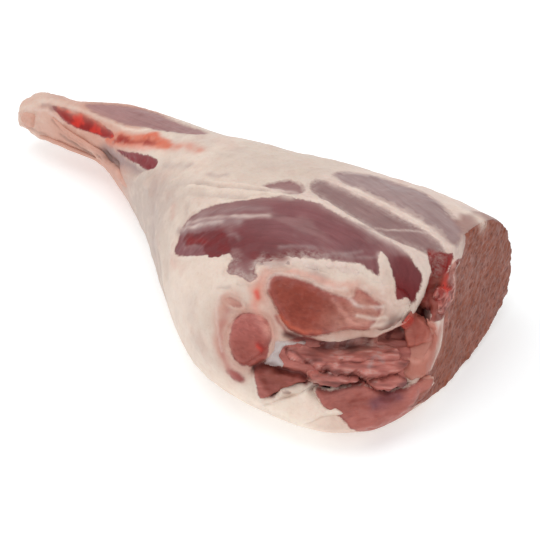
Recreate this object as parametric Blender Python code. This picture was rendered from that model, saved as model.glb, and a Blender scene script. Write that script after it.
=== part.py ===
"""Raw leg of lamb, bone in, lying on its outer side.

One solid, in metres. X runs along the leg: the shank is at -X, the cut butt end at +X. The knee
side is at +Y, the fat-covered back of the thigh at -Y, and the board under it is the plane z = 0.
The leg's length, width and height are those of the station table, less what the cuts take off.
"""

import math
from collections import namedtuple

import bmesh
import bpy
from mathutils import Matrix, Vector

MM = 0.001

# How finely the meat is meshed, and what share of the fine mesh's faces is kept.
RING_STEP = 6
RING_POINTS = 40
VOXEL = 3.0 * MM
SOFTENING = 12
KEPT_SHARE = 0.24

# Raw meat under a thin skin of fat: linear colour and roughness.
MEAT_COLOUR = (0.47, 0.29, 0.24, 1.0)
MEAT_ROUGHNESS = 0.42

# The middle of the leg's footprint in the tables below, which becomes the origin.
MIDDLE = Vector((-10.5, 7.0, 0.0))

# Sections across the leg, in millimetres: where each stands, its near and far sides, its underside
# and its top, and the power of its near shoulder and near foot (1 is round, below 1 is boxy).
Station = namedtuple("Station", "x near far low high shoulder foot")
LEG = [
    Station(-215, 43, 65, 18, 38, 0.90, 0.90),
    Station(-190, 38, 70, 13, 47, 0.90, 0.90),
    Station(-160, 40, 72, 12, 50, 0.90, 0.90),
    Station(-130, 41, 84, 10, 55, 0.90, 0.90),
    Station(-100, 30, 89, 4, 61, 0.93, 0.90),
    Station(-70, 13, 88, -1, 67, 0.96, 0.88),
    Station(-40, -7, 87, -4, 74, 0.96, 0.86),
    Station(-10, -33, 89, -5, 83, 0.96, 0.82),
    Station(20, -57, 91, -6, 90, 0.96, 0.79),
    Station(50, -79, 95, -6, 96, 0.96, 0.76),
    Station(80, -90, 99, -6, 100, 0.96, 0.73),
    Station(120, -91, 104, -6, 100, 0.96, 0.72),
    Station(150, -84, 106, -6, 98, 0.96, 0.72),
    Station(170, -71, 105, -4, 94, 0.96, 0.74),
    Station(180, -55, 102, 0, 90, 0.96, 0.80),
    Station(190, -24, 98, 6, 86, 0.96, 0.90),
    Station(200, 6, 93, 9, 82, 0.96, 0.90),
    Station(215, 20, 86, 12, 76, 0.96, 0.90),
]
WAIST = 0.42  # the share of a section's height at which it is widest
FAR_POWER = 0.86  # the power of the far shoulder and foot

# The flat cuts: a point on each, and its outward direction.
BUTT_CUT = (Vector((184, 28, 7)), Vector((0.98, 0.06, 0.15)))
HOCK_CUT = (Vector((-203, 54, 30)), Vector((-1.0, 0.20, 0.20)))
BOARD_CUT = (Vector((0, 0, 0)), Vector((0, 0, -1)))

# Where the pelvis was taken out: the shelf edge is a smooth line through these, as (x, y, z, how far the
# cut reaches inward), and the profile of the cut square to it, as (share of the reach, outward, height).
SHELF_EDGE = [(70, -118, 52, 40), (110, -72, 56, 40), (150, -45, 55, 34), (172, -12, 56, 23),
              (197, 22, 58, 27)]
PELVIS_PROFILE = [(-1, 0, 62), (-1, 0, 39), (0, 0, 0), (0, 15, -24), (0, 22, -28), (0, 60, -46),
                  (0, 90, -46), (0, 90, 62)]

# The gaps between muscles: a smooth route, mouth width, depth and the direction inward.
Gap = namedtuple("Gap", "route mouth depth inward")
GAPS = {
    "shelf_gap": Gap([(105, -80, 54), (130, -58, 52), (160, -37, 51), (180, -8, 54)],
                     (2, 8, 10, 12), (3, 18, 25, 28), (-0.55, 0.75, 0.10)),
    "rising_gap": Gap([(170, -22, 52), (170, 0, 63), (166, 18, 76), (159, 33, 91)],
                      (10, 8, 6, 3), (20, 18, 10, 3), (-0.55, 0.50, -0.45)),
    "lower_gap": Gap([(105, -92, 20), (135, -76, 28), (160, -57, 29), (184, -26, 26)],
                     (2, 8, 10, 3), (3, 18, 22, 5), (-0.50, 0.80, 0.05)),
}
SPAN_STEPS = 3  # how finely a route is followed between two of its points


def spline(values, i, f):
    """Catmull-Rom value a share f of the way from value i to the next."""
    a = values[max(i - 1, 0)]
    b, c = values[i], values[i + 1]
    d = values[min(i + 2, len(values) - 1)]
    cubic = (3 * b - a - 3 * c + d) * f**3
    square = (2 * a - 5 * b + 4 * c - d) * f**2
    return 0.5 * (2 * b + (c - a) * f + square + cubic)


def station_at(x):
    """The leg's section at x, between the listed ones."""
    i = max(k for k, s in enumerate(LEG[:-1]) if s.x <= x)
    f = (x - LEG[i].x) / (LEG[i + 1].x - LEG[i].x)
    return Station(*[spline(column, i, f) for column in zip(*LEG)])


def smoothed(rows):
    """Rows of numbers followed smoothly, with SPAN_STEPS rows to each span."""
    columns = list(zip(*rows))
    spans = [(i, k / SPAN_STEPS) for i in range(len(rows) - 1) for k in range(SPAN_STEPS)]
    finer = [tuple(spline(column, i, f) for column in columns) for i, f in spans]
    return finer + [tuple(rows[-1])]


def section(s):
    """One closed ring of the leg: an ellipse whose near side has a shoulder and a foot."""
    middle_y = (s.near + s.far) / 2
    half = (s.far - s.near) / 2
    middle_z = s.low + (s.high - s.low) * WAIST
    ring = []
    for k in range(RING_POINTS):
        angle = 2 * math.pi * k / RING_POINTS
        c, sn = math.cos(angle), math.sin(angle)
        near_power = s.shoulder if sn > 0 else s.foot
        power = near_power if c < 0 else FAR_POWER
        rise = (s.high - middle_z) if sn > 0 else (middle_z - s.low)
        y = middle_y + half * math.copysign(abs(c) ** power, c)
        z = middle_z + rise * math.copysign(abs(sn) ** power, sn)
        ring.append(Vector((s.x, y, z)) * MM)
    return ring


def loft(bm, rings):
    """A closed tube through the rings, with flat ends, its faces pointing out."""
    loops = [[bm.verts.new(p) for p in ring] for ring in rings]
    count = len(loops[0])
    faces = [bm.faces.new(loops[0]), bm.faces.new(list(reversed(loops[-1])))]
    for a, b in zip(loops, loops[1:]):
        for k in range(count):
            faces.append(bm.faces.new((a[k], b[k], b[(k + 1) % count], a[(k + 1) % count])))
    bmesh.ops.recalc_face_normals(bm, faces=faces)


def tangents(route):
    """The direction of travel at each point of a route."""
    last = len(route) - 1
    return [(route[min(i + 1, last)] - route[max(i - 1, 0)]).normalized()
            for i in range(len(route))]


def pelvis_void(bm):
    """The room the pelvis took: the profile carried along the shelf's edge."""
    edge = smoothed(SHELF_EDGE)
    route = [Vector(p[:3]) for p in edge]
    reaches = [p[3] for p in edge]
    rings = []
    for point, along, reach in zip(route, tangents(route), reaches):
        out = Vector((along.y, -along.x, 0)).normalized()
        ring = []
        for share, outward, height in PELVIS_PROFILE:
            ring.append((point + out * (share * reach + outward) + Vector((0, 0, height))) * MM)
        rings.append(ring)
    loft(bm, rings)


def gap_void(bm, gap, outside=14):
    """The room between two muscles: a wedge along the gap's route, narrowing inward."""
    rows = smoothed([(*at, wide, deep) for at, wide, deep in zip(gap.route, gap.mouth, gap.depth)])
    route = [Vector(row[:3]) for row in rows]
    inward = Vector(gap.inward).normalized()
    rings = []
    for point, along, wide, deep in zip(route, tangents(route), *list(zip(*rows))[3:]):
        across = along.cross(inward).normalized()
        profile = [(-outside, 0.8), (0, 0.5), (deep * 0.6, 0.34), (deep, 0.14)]
        upper = [point + inward * d + across * (wide * w) for d, w in profile]
        lower = [point + inward * d - across * (wide * w) for d, w in reversed(profile)]
        rings.append([p * MM for p in upper + lower])
    loft(bm, rings)


def new_object(name, bm):
    """An object holding what was laid out from the tables, moved to the leg's own origin."""
    bmesh.ops.translate(bm, vec=-MIDDLE * MM, verts=bm.verts)
    mesh = bpy.data.meshes.new(name)
    bm.to_mesh(mesh)
    bm.free()
    made = bpy.data.objects.new(name, mesh)
    bpy.context.scene.collection.objects.link(made)
    return made


def cutter(name, bm):
    """A helper that only cuts: it isn't part of the leg."""
    made = new_object(name, bm)
    made.hide_render = True
    made.display_type = "WIRE"
    return made


def half_space(name, cut, size=700):
    """A block whose face lies on the cut, on the side that the cut takes away."""
    point, outward = cut
    bm = bmesh.new()
    bmesh.ops.create_cube(bm, size=size * MM)
    turn = outward.to_track_quat("Z", "Y").to_matrix().to_4x4()
    centre = (point + outward.normalized() * (size / 2)) * MM
    bmesh.ops.transform(bm, matrix=Matrix.Translation(centre) @ turn, verts=bm.verts)
    return cutter(name, bm)


def meat():
    """The leg's one material."""
    material = bpy.data.materials.new("raw_lamb")
    material.use_nodes = True
    shader = material.node_tree.nodes["Principled BSDF"]
    shader.inputs["Base Color"].default_value = MEAT_COLOUR
    shader.inputs["Roughness"].default_value = MEAT_ROUGHNESS
    shader.inputs["Metallic"].default_value = 0.0
    return material


def modify(target, kind, **settings):
    made = target.modifiers.new(kind.title(), kind)
    for key, value in settings.items():
        setattr(made, key, value)


def cut_away(target, tool):
    modify(target, "BOOLEAN", operation="DIFFERENCE", use_self=True, object=tool)


def main():
    for old in list(bpy.data.objects):
        bpy.data.objects.remove(old)

    bm = bmesh.new()
    loft(bm, [section(station_at(x)) for x in range(LEG[0].x, LEG[-1].x, RING_STEP)])
    leg = new_object("leg_of_lamb", bm)
    leg.data.materials.append(meat())

    bm = bmesh.new()
    pelvis_void(bm)
    cut_away(leg, cutter("pelvis_void", bm))
    for name, gap in GAPS.items():
        bm = bmesh.new()
        gap_void(bm, gap)
        cut_away(leg, cutter(name, bm))

    # Meat has no sharp edges, except where the saw and the board have made it flat.
    modify(leg, "REMESH", mode="VOXEL", voxel_size=VOXEL, use_smooth_shade=True)
    modify(leg, "SMOOTH", factor=0.5, iterations=SOFTENING)
    modify(leg, "DECIMATE", ratio=KEPT_SHARE)
    cut_away(leg, half_space("board_cut", BOARD_CUT))
    cut_away(leg, half_space("butt_cut", BUTT_CUT))
    cut_away(leg, half_space("hock_cut", HOCK_CUT))


main()
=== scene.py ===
"""A raw leg of lamb, bone in, lying on its fat side with the cut butt end towards the right."""

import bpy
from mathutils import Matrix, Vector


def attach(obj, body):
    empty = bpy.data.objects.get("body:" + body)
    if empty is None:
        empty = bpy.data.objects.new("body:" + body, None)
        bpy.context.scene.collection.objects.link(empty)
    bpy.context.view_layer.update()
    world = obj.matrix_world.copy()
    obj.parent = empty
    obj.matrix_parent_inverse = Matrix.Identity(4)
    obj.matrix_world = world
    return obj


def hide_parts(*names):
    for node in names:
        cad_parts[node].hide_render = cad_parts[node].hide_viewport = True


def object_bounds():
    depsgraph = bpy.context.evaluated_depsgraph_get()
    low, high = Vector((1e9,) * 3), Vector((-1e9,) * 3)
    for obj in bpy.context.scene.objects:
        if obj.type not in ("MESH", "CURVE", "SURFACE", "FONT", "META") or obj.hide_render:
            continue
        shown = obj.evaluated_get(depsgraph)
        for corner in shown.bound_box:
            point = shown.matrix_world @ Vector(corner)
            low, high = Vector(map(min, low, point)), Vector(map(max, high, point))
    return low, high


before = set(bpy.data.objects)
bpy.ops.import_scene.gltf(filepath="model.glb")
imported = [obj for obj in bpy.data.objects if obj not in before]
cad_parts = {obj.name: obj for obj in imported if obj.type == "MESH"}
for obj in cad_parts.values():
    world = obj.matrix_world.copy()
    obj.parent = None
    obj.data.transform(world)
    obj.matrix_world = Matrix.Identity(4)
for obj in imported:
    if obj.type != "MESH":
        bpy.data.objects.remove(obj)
CAD_BOX = [list(corner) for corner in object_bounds()]

import math

import bmesh
import bpy
import numpy as np
from bpy.props import FloatProperty, FloatVectorProperty, PointerProperty
from mathutils import Vector, noise
from mathutils.bvhtree import BVHTree

bl_info = {
    "name": "Raw Leg of Lamb",
    "version": (1, 0, 0),
    "blender": (4, 5, 0),
    "location": "View3D > Sidebar > Leg of Lamb",
    "description": "Builds a raw leg of lamb around its packed solid, tissue by tissue",
    "category": "Object",
}

MM = 0.001
CAD_NODE = "leg_of_lamb"
BODY = "root"
FAR = 9.0


# ---------------------------------------------------------------- sizes and colours

def tone(name, description, rgb):
    return FloatVectorProperty(name=name, description=description, default=rgb,
                               subtype="COLOR_GAMMA", size=3, min=0.0, max=1.0)


def length(name, description, millimetres):
    return FloatProperty(name=name, description=description, default=millimetres * MM,
                         subtype="DISTANCE", unit="LENGTH", min=0.0, precision=4)


class LegSizes(bpy.types.PropertyGroup):
    skin_grid: length("Skin grid", "Spacing of the points that carry the surface", 1.15)
    muscle_step: length("Muscle step", "How far bare muscle lies below the fat round it", 1.0)
    line_relief: FloatProperty(name="Line relief",
                               description="Strength of ridges and cuts along drawn lines",
                               default=1.2, min=0.0, subtype="FACTOR", soft_max=2.0)
    lobe_rise: length("Lobe rise", "How far the two cut muscle lobes stand out", 3.5)
    butt_grain: length("Butt grain", "Depth of the grain on the sawn butt face", 0.5)
    tear_depth: length("Tear depth", "Depth of the ridges in the torn corner", 2.2)


class LegColours(bpy.types.PropertyGroup):
    fat: tone("Fat", "Dry outer fat", (0.90, 0.825, 0.77))
    white_fat: tone("White fat", "Thick fat where it was cut", (0.97, 0.90, 0.84))
    # Shaded fat: the fat colour darkened as painted shade.
    shaded_fat: tone("Thin fat", "Fat with a little meat showing through", (0.80, 0.73, 0.68))
    # Grey fat stands for greyish fat in places, and for painted shade on fat in grooves, dimples and over
    # the lower flank.
    grey_fat_and_shade: tone("Grey fat", "Fat with meat close below", (0.73, 0.65, 0.62))
    pink_fat: tone("Pink fat", "Fat flushed with blood", (0.80, 0.61, 0.55))
    halo: tone("Halo", "Pale flush beside a cut", (0.90, 0.65, 0.59))
    orange_fat: tone("Orange fat", "Fat stained orange round cuts", (0.85, 0.40, 0.27))
    fascia: tone("Fascia", "White sheet between muscles", (0.90, 0.81, 0.77))
    tendon: tone("Tendon", "Salmon tendon of the shank", (0.83, 0.63, 0.56))
    silverskin: tone("Silverskin", "Main muscle under its skin", (0.51, 0.30, 0.31))
    milky_silverskin: tone("Milky silverskin", "Muscle under thicker skin", (0.60, 0.45, 0.44))
    bare_muscle: tone("Bare muscle", "Muscle with its skin torn off", (0.44, 0.17, 0.18))
    plum: tone("Plum", "Bare shank muscle", (0.53, 0.20, 0.22))
    wine: tone("Wine", "Deep red muscle", (0.47, 0.09, 0.10))
    shank_skin: tone("Shank skin", "Muscle of the shank under its skin", (0.66, 0.49, 0.48))
    # Far silverskin and film are paler and greyer than the near muscle: partly the far muscle's own skin
    # and film, partly painted reflection of the light on the far top.
    far_silverskin: tone("Far silverskin", "Muscle beyond the first seam", (0.58, 0.45, 0.44))
    film: tone("Film", "Milky film over the far muscle", (0.65, 0.55, 0.54))
    lobe: tone("Cut lobe", "Cut end of the near muscle", (0.57, 0.25, 0.19))
    pale_lobe: tone("Pale lobe", "Second cut end", (0.70, 0.40, 0.37))
    pink_lobe: tone("Pink lobe", "Cut meat with fat in it", (0.74, 0.51, 0.45))
    butt: tone("Butt face", "Sawn face of the butt", (0.575, 0.305, 0.215))
    pale_butt: tone("Pale butt face", "Paler rim of the sawn face", (0.64, 0.42, 0.37))
    rim: tone("Rim", "Thin meat over the edge of the sawn face", (0.64, 0.48, 0.45))
    torn: tone("Torn meat", "Torn muscle layers", (0.72, 0.43, 0.39))
    # Shaded torn meat: torn meat darkened as painted shade for hollows.
    shaded_torn: tone("Dark torn meat", "Torn meat in the hollows", (0.56, 0.28, 0.23))
    bone: tone("Bone end", "Meat over the end of the bone", (0.72, 0.40, 0.34))
    column: tone("Column", "Pink skin between the bone and the butt", (0.74, 0.46, 0.40))
    flap: tone("Flap", "Cut face of the lower flap", (0.70, 0.41, 0.37))
    # Purple sheen: the lower flap's skin with a painted purple sheen.
    purple: tone("Purple sheen", "Skin of the lower flap", (0.50, 0.29, 0.34))
    blood: tone("Blood", "Blood soaked into the cuts", (0.58, 0.10, 0.09))
    fresh: tone("Fresh blood", "Bright wet blood", (0.86, 0.20, 0.14))
    pit: tone("Deep cut", "Shadowed meat at the bottom of a cut", (0.30, 0.045, 0.035))
    # Crease shade: brownish painted shade for creases and for the lower edges of the shank's tendons and
    # hollow.
    crease_shade: tone("Folded fat", "Brownish thin skin in a fold", (0.52, 0.40, 0.37))
    gristle: tone("Gristle", "Bluish gristle of the hip", (0.76, 0.72, 0.72))


def sizes():
    return bpy.context.scene.lamb_sizes


def colour(name):
    """A named colour as linear light."""
    srgb = np.array(getattr(bpy.context.scene.lamb_colours, name)[:])
    return np.where(srgb <= 0.04045, srgb / 12.92, ((srgb + 0.055) / 1.055) ** 2.4)


# ---------------------------------------------------------------- marks on the meat

def smooth(low, high, value):
    t = np.clip((value - low) / (high - low), 0.0, 1.0)
    return t * t * (3 - 2 * t)


def bell(distance, width):
    return np.exp(-(distance / width) ** 2)


def rounded(points, closed=True, steps=4):
    """A Catmull-Rom line through the points."""
    p = np.array(points, float)
    n = len(p)
    spans = n if closed else n - 1
    out = []
    for i in range(spans):
        a, b, c, d = (p[j % n] if closed else p[min(max(j, 0), n - 1)]
                      for j in (i - 1, i, i + 1, i + 2))
        for k in range(steps):
            t = k / steps
            out.append(0.5 * (2 * b + (c - a) * t + (2 * a - 5 * b + 4 * c - d) * t ** 2
                              + (3 * b - a - 3 * c + d) * t ** 3))
    if not closed:
        out.append(p[-1])
    return np.array(out)


def segment_distance(p, a, b):
    ab = b - a
    t = np.clip(((p - a) @ ab) / max(ab @ ab, 1e-9), 0, 1)
    return np.linalg.norm(p - a - t[:, None] * ab, axis=1)


def inside_depth(places, normals, outline, reach=16.0):
    """How deep each place lies inside an outline drawn on the meat, in millimetres; negative outside."""
    line = rounded(outline)
    middle = line.mean(0)
    axes = np.linalg.svd(line - middle, full_matrices=False)[2]
    flat, out = line - middle, axes[2]
    facing = normals @ out
    near = np.abs(places - middle).max(1) < np.abs(flat).max() + 3 * FAR
    if (facing[near] * bell(np.linalg.norm(places[near] - middle, axis=1), 40)).sum() < 0:
        facing = -facing
    depth = np.full(len(places), -FAR)
    offset = (places - middle) @ out
    spread = np.ptp(flat @ out) / 2
    low, high = (flat @ axes[:2].T).min(0) - FAR, (flat @ axes[:2].T).max(0) + FAR
    uv = (places - middle) @ axes[:2].T
    pick = (np.abs(offset) < reach + spread) & (facing > -0.15) & (uv > low).all(1) & (uv < high).all(1)
    q, poly = uv[pick], flat @ axes[:2].T
    gap = np.full(len(q), 1e9)
    within = np.zeros(len(q), bool)
    for a, b in zip(poly, np.roll(poly, -1, 0)):
        gap = np.minimum(gap, segment_distance(q, a, b))
        if a[1] != b[1]:
            crosses = (a[1] > q[:, 1]) != (b[1] > q[:, 1])
            within ^= crosses & (q[:, 0] < (b[0] - a[0]) * (q[:, 1] - a[1]) / (b[1] - a[1]) + a[0])
    depth[pick] = np.clip(np.where(within, gap, -gap), -FAR, 40)
    return depth


def line_distance(places, route):
    """Distance of each place from a line drawn on the meat, in millimetres."""
    line = rounded(route, closed=False)
    near = np.full(len(places), 1e9)
    pick = ((places > line.min(0) - 20) & (places < line.max(0) + 20)).all(1)
    gap = np.full(pick.sum(), 1e9)
    for a, b in zip(line[:-1], line[1:]):
        gap = np.minimum(gap, segment_distance(places[pick], a, b))
    near[pick] = gap
    return near


def rough(places, size, seed=0.0, stretch=(1, 1, 1)):
    """Soft noise between about -1 and 1 whose lumps are size millimetres across."""
    q = places * (np.array(stretch) / size) + seed * 17.3
    return np.array([noise.noise(v) for v in q.tolist()])


def rough_sum(places, size, seed=0.0, octaves=3, stretch=(1, 1, 1)):
    return sum(rough(places, size / 2 ** k, seed + k, stretch) / 2 ** k for k in range(octaves))


# ---------------------------------------------------------------- faces of the leg

DRAWN_LENGTH = 393.0  # the length of leg, in millimetres, that the outlines below are set out for
SCALE = (CAD_BOX[1][0] - CAD_BOX[0][0]) / MM / DRAWN_LENGTH
HALF = math.sqrt(0.5)

# The plain views that outlines are drawn in: what points right and what points up in each.
FACES = {
    "top": ((1, 0, 0), (0, 1, 0)),
    "shoulder": ((1, 0, 0), (0, HALF, HALF)),
    "side": ((1, 0, 0), (0, 0, 1)),
    "corner": ((HALF, HALF, 0), (0, 0, 1)),
    "end": ((0, 1, 0), (0, 0, 1)),
}


def tree_of(mesh):
    solid = bmesh.new()
    solid.from_mesh(mesh)
    tree = BVHTree.FromBMesh(solid)
    solid.free()
    return tree


SOLID = tree_of(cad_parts[CAD_NODE].data)


def on_leg(face, points, jump=6.0):
    """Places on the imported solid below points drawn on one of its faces, in millimetres.

    A point that falls into a gap, or past the edge, takes the level of its neighbours.
    """
    right, up = (np.array(way, float) for way in FACES[face])
    out = np.cross(right, up)
    flat = [(right * u + up * v) * SCALE for u, v in points]
    level = np.full(len(flat), np.nan)
    for i, spot in enumerate(flat):
        hit, *_ = SOLID.ray_cast(Vector((spot + out * DRAWN_LENGTH) * MM), Vector(-out))
        if hit is not None:
            level[i] = np.array(hit) @ out / MM
    usual = np.nanmedian(level)
    around = [np.nanmedian(np.append(level[max(i - 2, 0):i + 3], usual)) for i in range(len(flat))]
    level = np.where(np.isnan(level) | (np.abs(level - around) > jump), around, level)
    return [spot + out * (high - spot @ out) for spot, high in zip(flat, level)]


# ---------------------------------------------------------------- outlines, in millimetres

MAIN_MUSCLE = on_leg("shoulder", [
    (22, 28), (31, 41), (48, 53), (67, 64), (93, 72), (120, 71), (141, 71), (155, 69), (168, 64),
    (175, 57), (176, 47), (172, 35), (168, 41), (164, 50), (158, 58), (151, 62), (153, 56), (156, 48),
    (146, 49), (137, 47), (128, 44), (117, 39), (105, 31), (95, 25), (97, 12), (87, 13), (79, 13),
    (76, 21), (70, 22), (64, 18), (52, 14), (38, 9), (27, 8), (25, 14), (23, 20)])
FAR_MUSCLE = on_leg("top", [
    (79, 24), (86, 26), (110, 25), (125, 24), (140, 23), (155, 22), (168, 20), (177, 18), (179, 12),
    (172, 6), (162, 3), (150, 1), (138, 1), (128, 3), (118, 4), (107, 6), (96, 8), (84, 13)])
FAR_FILM = on_leg("top", [
    (86, 36), (100, 31), (120, 31), (140, 30), (155, 28), (168, 26), (179, 25), (180, 34), (172, 42),
    (160, 50), (148, 57), (130, 61), (110, 60), (95, 53), (86, 44)])
KNEE_PATCH = on_leg("top", [(55, 3), (60, 11), (67, 16), (76, 15), (84, 6), (78, 2), (66, 2)])
LOBE_A = on_leg("shoulder", [
    (105, 14), (104, 20), (108, 24), (121, 27), (140, 27), (149, 30), (149, 36), (159, 34), (167, 31),
    (163, 17), (154, 12), (145, 4), (138, -1), (130, -3), (124, -2), (117, 3), (112, 7)])
LOBE_B = on_leg("corner", [
    (13, 69), (21, 70), (29, 67), (31, 61), (29, 56), (27, 50), (22, 46), (15, 47), (9, 50), (6, 57),
    (8, 64)])
LOBE_C = on_leg("shoulder", [(88, -2), (91, 0), (96, 0), (99, -2), (96, -4), (91, -4)])
LOW_PINK = on_leg("corner", [(4, 41), (7, 44), (12, 42), (14, 39), (10, 37), (5, 38)])
END_SPOT = on_leg("shoulder", [
    (28, 18), (31, 23), (38, 26), (46, 30), (55, 33), (63, 33), (66, 29), (73, 25), (72, 21), (66, 18),
    (60, 16), (53, 17), (50, 20), (44, 20), (38, 17), (33, 15)])
SHANK_MUSCLE = on_leg("shoulder", [
    (-140, 73), (-125, 80), (-108, 88), (-88, 92), (-68, 92), (-48, 91), (-30, 88), (-40, 82),
    (-58, 78), (-76, 75), (-94, 71), (-112, 70), (-128, 70)])
SHANK_RED = on_leg("shoulder", [
    (-163, 62), (-151, 65), (-140, 66), (-120, 65), (-104, 63), (-98, 60), (-106, 57), (-121, 56),
    (-131, 55), (-143, 55), (-154, 58)])
SHANK_WINE = on_leg("shoulder", [
    (-95, 53), (-79, 55), (-62, 57), (-48, 58), (-41, 56), (-41, 51), (-48, 48), (-60, 49), (-76, 50)])
SHANK_GREY = on_leg("shoulder", [
    (-118, 51), (-104, 52), (-90, 51), (-72, 49), (-55, 47), (-46, 46), (-58, 43), (-75, 43),
    (-92, 44), (-107, 46)])
SHANK_ORANGE = on_leg("shoulder", [
    (-106, 63), (-92, 64), (-80, 66), (-70, 70), (-62, 74), (-56, 72), (-48, 72), (-40, 70), (-44, 66),
    (-56, 64), (-66, 61), (-78, 58), (-92, 56), (-106, 57)])
COLUMN = on_leg("corner", [
    (107, 36), (114, 31), (122, 29), (128, 34), (131, 46), (130, 56), (124, 62), (118, 60), (110, 50)])
BUTT = on_leg("end", [
    (31, 80), (20, 76), (19, 66), (12, 60), (5, 54), (3, 50), (1, 45), (-2, 37), (-7, 35), (-15, 29),
    (-24, 27), (-42, 20), (-60, 0), (60, 0), (110, 0), (110, 90), (50, 100)])
INNER = on_leg("end", [
    (5, 84), (13, 81), (20, 84), (30, 80), (20, 76), (19, 66), (12, 60), (5, 54), (-3, 57), (-10, 60),
    (-6, 66), (-1, 72), (1, 78)])
NOTCH = on_leg("top", [
    (171, 9), (174, 13), (178, 17), (182, 22), (184, 18), (183, 12), (180, 7), (175, 5)])
TORN = on_leg("corner", [
    (20, 46), (30, 48), (38, 57), (50, 60), (64, 57), (83, 58), (97, 56), (108, 60), (114, 60),
    (112, 44), (108, 35), (92, 30), (84, 36), (60, 35), (44, 33), (24, 28), (20, 36)])
FLAP = on_leg("corner", [
    (54, 31), (62, 33), (75, 37), (83, 36), (91, 29), (98, 27), (106, 30), (116, 32), (125, 33),
    (123, 24), (114, 13), (100, 8), (88, 7), (76, 11), (67, 21), (58, 27)])
DARK_WALL = on_leg("corner", [
    (21, 44), (30, 47), (38, 42), (49, 41), (56, 37), (45, 33), (39, 31), (30, 30), (25, 34)])

NEAR_LOBE = on_leg("shoulder", [
    (104, 15), (112, 7), (117, 3), (124, -2), (130, -3), (138, -1), (145, 4), (154, 12), (163, 17),
    (171, 22), (176, 33), (176, 42), (169, 47), (158, 46), (144, 41), (130, 37), (116, 34), (106, 28)])

# Pieces laid on the leg, and the lips that some of them stand highest along.
SECOND_LOBE = on_leg("corner", [
    (7, 65), (13, 69), (20, 70), (28, 68), (32, 62), (30, 57), (25, 53), (17, 49), (11, 49), (5, 56)])
TORN_TOP = on_leg("corner", [
    (38, 54), (46, 55), (55, 53), (64, 51), (73, 50), (94, 49), (103, 48), (107, 45), (100, 43),
    (90, 45), (80, 47), (70, 44), (62, 44), (50, 46), (41, 49)])
TORN_TOP_LIP = on_leg("corner", [(41, 50), (50, 47), (62, 45), (80, 48), (90, 46), (107, 45)])
TORN_MIDDLE = on_leg("corner", [
    (56, 45), (69, 48), (80, 47), (95, 46), (107, 45), (112, 42), (105, 38), (95, 39), (85, 39),
    (76, 42), (66, 41)])
TORN_MIDDLE_LIP = on_leg("corner", [(60, 43), (76, 42), (85, 39), (95, 39), (105, 38), (112, 41)])
TORN_LOW_LEFT = on_leg("corner", [
    (50, 43), (58, 43), (66, 44), (75, 42), (79, 39), (70, 36), (60, 36), (52, 38)])
TORN_LOW_RIGHT = on_leg("corner", [
    (84, 39), (95, 38), (105, 37), (110, 33), (103, 31), (95, 30), (88, 33)])
LOW_FAT_SLAB = on_leg("corner", [
    (24, 26), (33, 28), (44, 28), (53, 30), (59, 27), (65, 24), (71, 20), (58, 19), (44, 19), (32, 20),
    (25, 22)])
FLAP_LIP = on_leg("corner", [(54, 31), (62, 33), (75, 37), (83, 36), (91, 29), (98, 27), (112, 30)])
WHITE_COLUMN = on_leg("corner", [
    (126, 60), (129, 55), (130, 46), (127, 36), (122, 30), (114, 31), (107, 35), (110, 41), (112, 44),
    (121, 43), (126, 48), (127, 55)])
BONE_TIP = on_leg("corner", [
    (113, 53), (117, 57), (122, 59), (126, 55), (126, 49), (121, 44), (114, 44), (111, 48)])
INNER_RIDGE = on_leg("end", [(2, 72), (9, 74), (16, 72), (19, 66), (13, 60), (5, 58), (0, 62)])
SCRAP_LEFT = on_leg("shoulder", [
    (98, 26), (104, 33), (112, 38), (122, 41), (124, 37), (113, 33), (105, 28), (100, 22)])
SCRAP_RIGHT = on_leg("shoulder", [
    (126, 41), (134, 45), (142, 46), (148, 45), (143, 41), (135, 40), (128, 38)])
GRISTLE = on_leg("corner", [
    (27, 48), (31, 53), (34, 58), (41, 58), (51, 57), (44, 56), (38, 55), (35, 52), (37, 47),
    (33, 46)])
SHANK_LIP = on_leg("side", [(-188, 32), (-183, 38), (-176, 38), (-173, 33), (-177, 27), (-184, 26)])

# Routes of the tendons.
HEEL_TENDON = on_leg("shoulder", [
    (-158, 55), (-145, 51), (-131, 49), (-117, 47), (-103, 43), (-90, 40), (-74, 38), (-58, 36)])
SHIN_TENDON = on_leg("side", [(-170, 23), (-150, 23), (-130, 22), (-110, 24)])

# Lines that cuts follow.
LOBE_LIP = on_leg("shoulder", [
    (112, 7), (117, 3), (124, -2), (130, -3), (138, -1), (145, 4), (154, 12), (163, 17), (171, 22),
    (175, 34)])
OPENING = on_leg("corner", [(20, 45), (30, 47), (35, 44), (45, 41), (54, 39)])
SLIT = on_leg("corner", [
    (24, 28), (30, 30), (44, 33), (54, 36), (68, 35), (80, 37), (84, 36), (92, 30), (98, 28),
    (109, 32)])

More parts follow.
